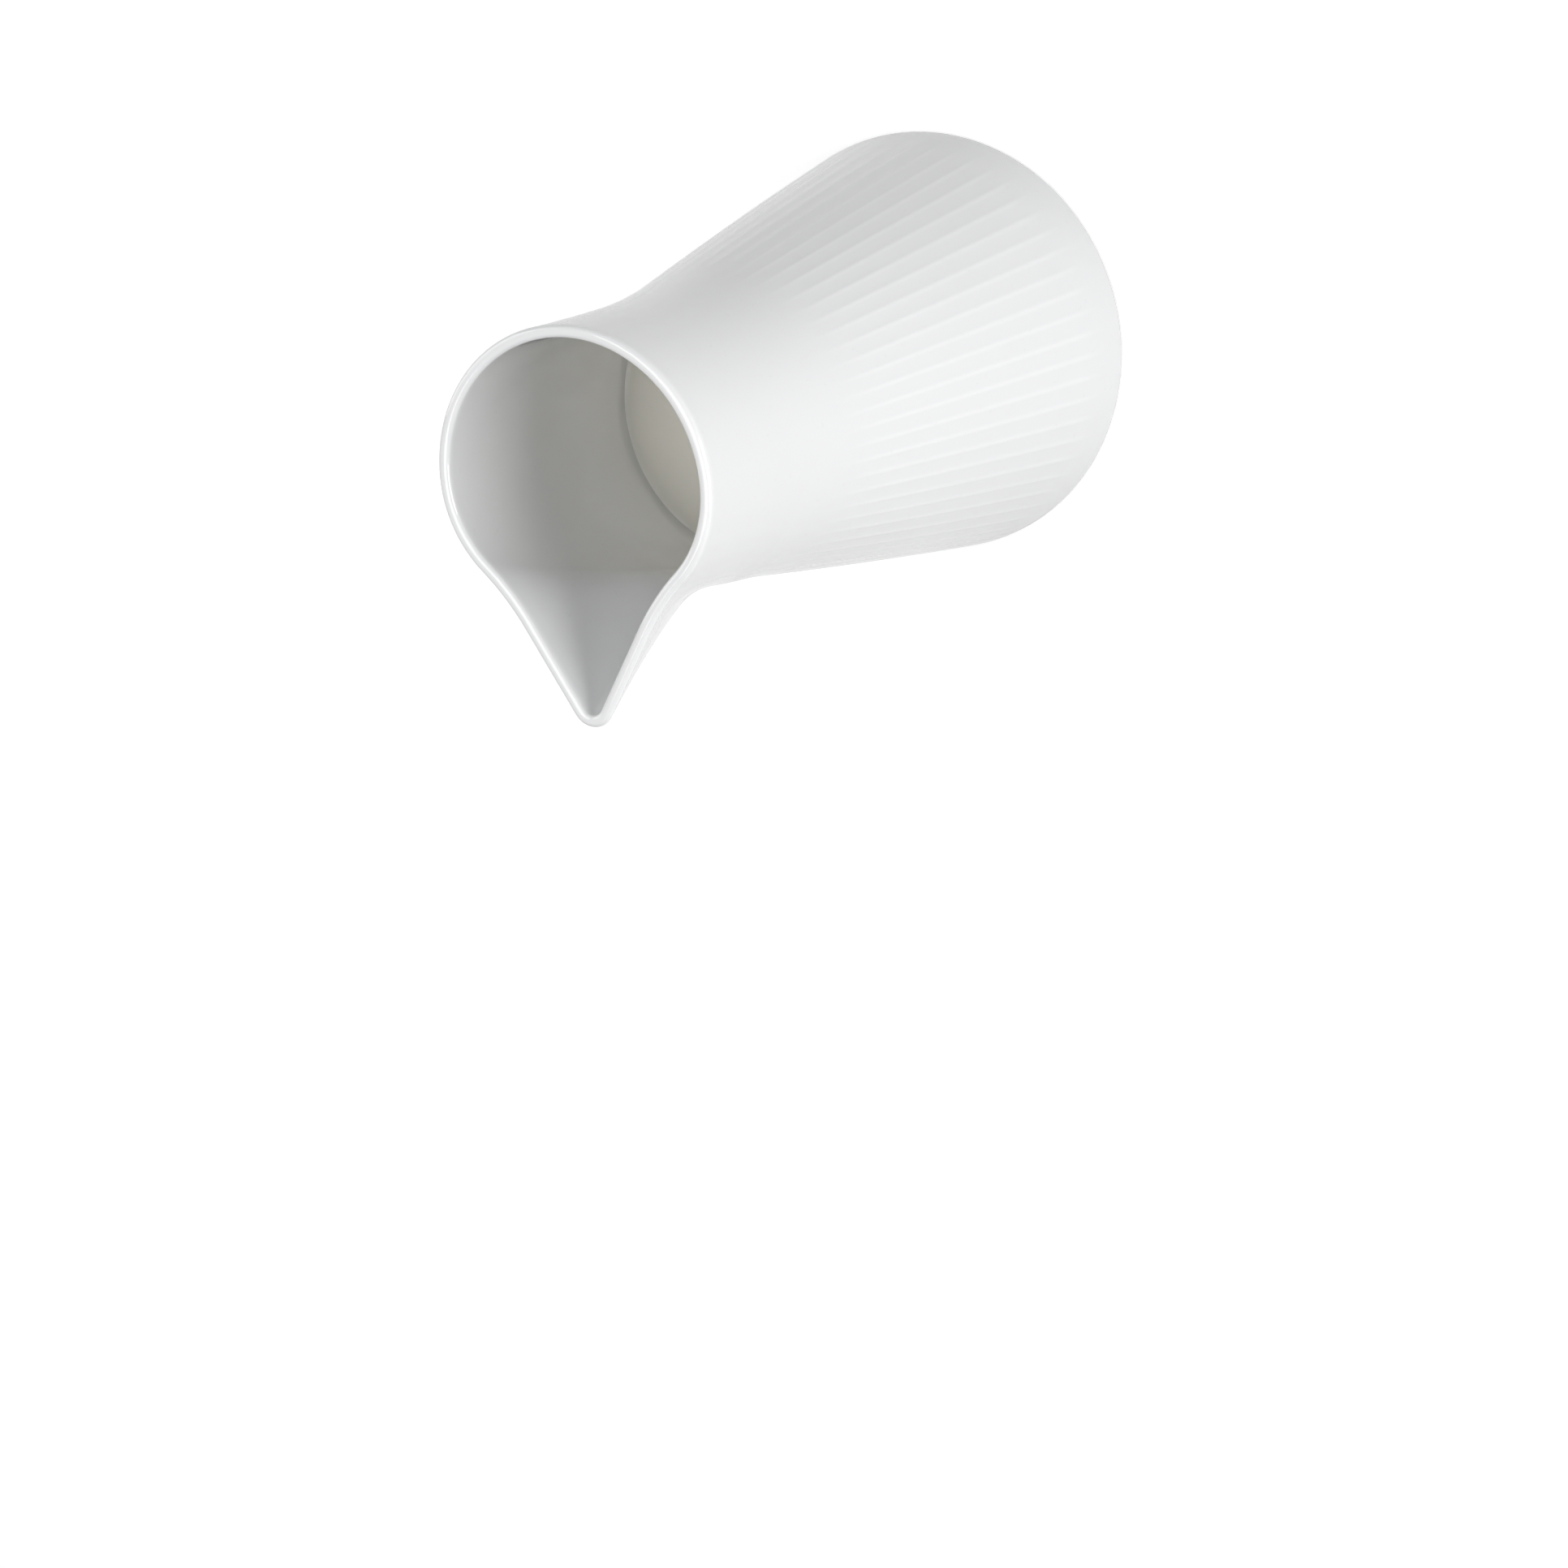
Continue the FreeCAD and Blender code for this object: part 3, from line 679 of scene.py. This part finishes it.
def floor_material():
    """White to the camera, but for the shadow that lies on it."""
    finish = Finish("studio_floor")
    path = finish.nodes.new("ShaderNodeLightPath")
    camera, glossy, through = [
        Socket(finish, path.outputs[f"Is {name} Ray"]) for name in ("Camera", "Glossy", "Transmission")
    ]
    seen = camera.maths("MAXIMUM", through).maths("MAXIMUM", glossy * MIRRORED_SHARE)
    return finish.shade(
        Base_Color=(0.8, 0.8, 0.8, 1.0),
        Roughness=0.9,
        Specular_IOR_Level=0.0,
        Emission_Color=finish.blended(seen, (0.0, 0.0, 0.0, 1.0), (1.0, 1.0, 1.0, 1.0)),
        Emission_Strength=FLOOR_GLOW,
    )


# Operators


class MILKJUG_OT_jug(bpy.types.Operator):
    """Model the porcelain jug and give it its glaze"""

    bl_idname = "milkjug.make_jug"
    bl_label = "Make the Jug"

    def execute(self, context):
        shape = context.scene.jug_shape
        material = glaze_material(context.scene.jug_finish, shape)
        jug = finished_object(shaped_jug(shape), "porcelain_jug", [material])
        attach(jug, "root")
        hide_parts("jug")
        return {"FINISHED"}


class MILKJUG_OT_milk(bpy.types.Operator):
    """Fill the jug with milk up to its level"""

    bl_idname = "milkjug.make_milk"
    bl_label = "Fill with Milk"

    def execute(self, context):
        shape = context.scene.jug_shape
        material = milk_material(context.scene.jug_finish, shape)
        milk = finished_object(shaped_milk(shape), "milk_filling", [material])
        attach(milk, "root")
        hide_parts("milk")
        return {"FINISHED"}


def direction(turn, rise):
    """The unit vector that points a turn round from the spout and a rise above level."""
    return Vector((cos(turn) * cos(rise), sin(turn) * cos(rise), sin(rise)))


def add_lamp(name, azimuth, elevation, size, power):
    """A square soft light that looks at the middle of the jug."""
    lamp = bpy.data.lights.new(name, "AREA")
    lamp.shape = "SQUARE"
    lamp.size = size
    lamp.energy = power
    target = Vector((0, 0, HEIGHT / 2))
    toward = direction(radians(azimuth), radians(elevation))
    holder = bpy.data.objects.new(name, lamp)
    holder.location = target + toward * LAMP_DISTANCE
    holder.rotation_euler = toward.to_track_quat("Z", "Y").to_euler()
    bpy.context.scene.collection.objects.link(holder)


class MILKJUG_OT_studio(bpy.types.Operator):
    """Set up the floor, the light and the camera"""

    bl_idname = "milkjug.make_studio"
    bl_label = "Set Up the Studio"

    def execute(self, context):
        scene = context.scene
        studio = scene.jug_studio

        mesh = bmesh.new()
        bmesh.ops.create_circle(mesh, cap_ends=True, radius=FLOOR_RADIUS, segments=64)
        floor = finished_object(mesh, "studio_floor", [floor_material()])

        add_lamp("key", azimuth=88, elevation=14, size=0.7, power=8.4)
        add_lamp("top", azimuth=0, elevation=90, size=1.0, power=8.3)
        add_lamp("back", azimuth=250, elevation=30, size=0.7, power=3.1)

        scene.world = studio_air()

        toward = direction(studio.azimuth, studio.elevation)
        lens = bpy.data.cameras.new("camera")
        lens.lens = studio.lens
        lens.sensor_width = SENSOR_WIDTH
        camera = bpy.data.objects.new("camera", lens)
        facing = toward.to_track_quat("Z", "Y").to_matrix().to_4x4()
        place = Matrix.Translation(Vector(studio.aim) + toward * studio.distance)
        camera.matrix_world = place @ facing @ Matrix.Rotation(studio.roll, 4, "Z")
        scene.collection.objects.link(camera)
        scene.camera = camera
        scene.view_settings.view_transform = "Standard"
        return {"FINISHED"}


class MILKJUG_PT_panel(bpy.types.Panel):
    bl_label = "Milk Jug"
    bl_idname = "MILKJUG_PT_panel"
    bl_space_type = "VIEW_3D"
    bl_region_type = "UI"
    bl_category = "Milk Jug"

    def draw(self, context):
        scene = context.scene
        for group in (scene.jug_shape, scene.jug_finish, scene.jug_studio):
            box = self.layout.box()
            for name in group.__annotations__:
                box.prop(group, name)
        for operator in OPERATORS:
            self.layout.operator(operator.bl_idname)


GROUPS = {"jug_shape": JugShape, "jug_finish": JugFinish, "jug_studio": StudioSet}
OPERATORS = (MILKJUG_OT_jug, MILKJUG_OT_milk, MILKJUG_OT_studio)
CLASSES = (*GROUPS.values(), *OPERATORS, MILKJUG_PT_panel)


def register():
    for each in CLASSES:
        bpy.utils.register_class(each)
    for name, group in GROUPS.items():
        setattr(bpy.types.Scene, name, PointerProperty(type=group))


def unregister():
    for name in GROUPS:
        delattr(bpy.types.Scene, name)
    for each in reversed(CLASSES):
        bpy.utils.unregister_class(each)


def main():
    register()
    bpy.ops.milkjug.make_jug()
    bpy.ops.milkjug.make_milk()
    bpy.ops.milkjug.make_studio()


if __name__ == "__main__":
    main()
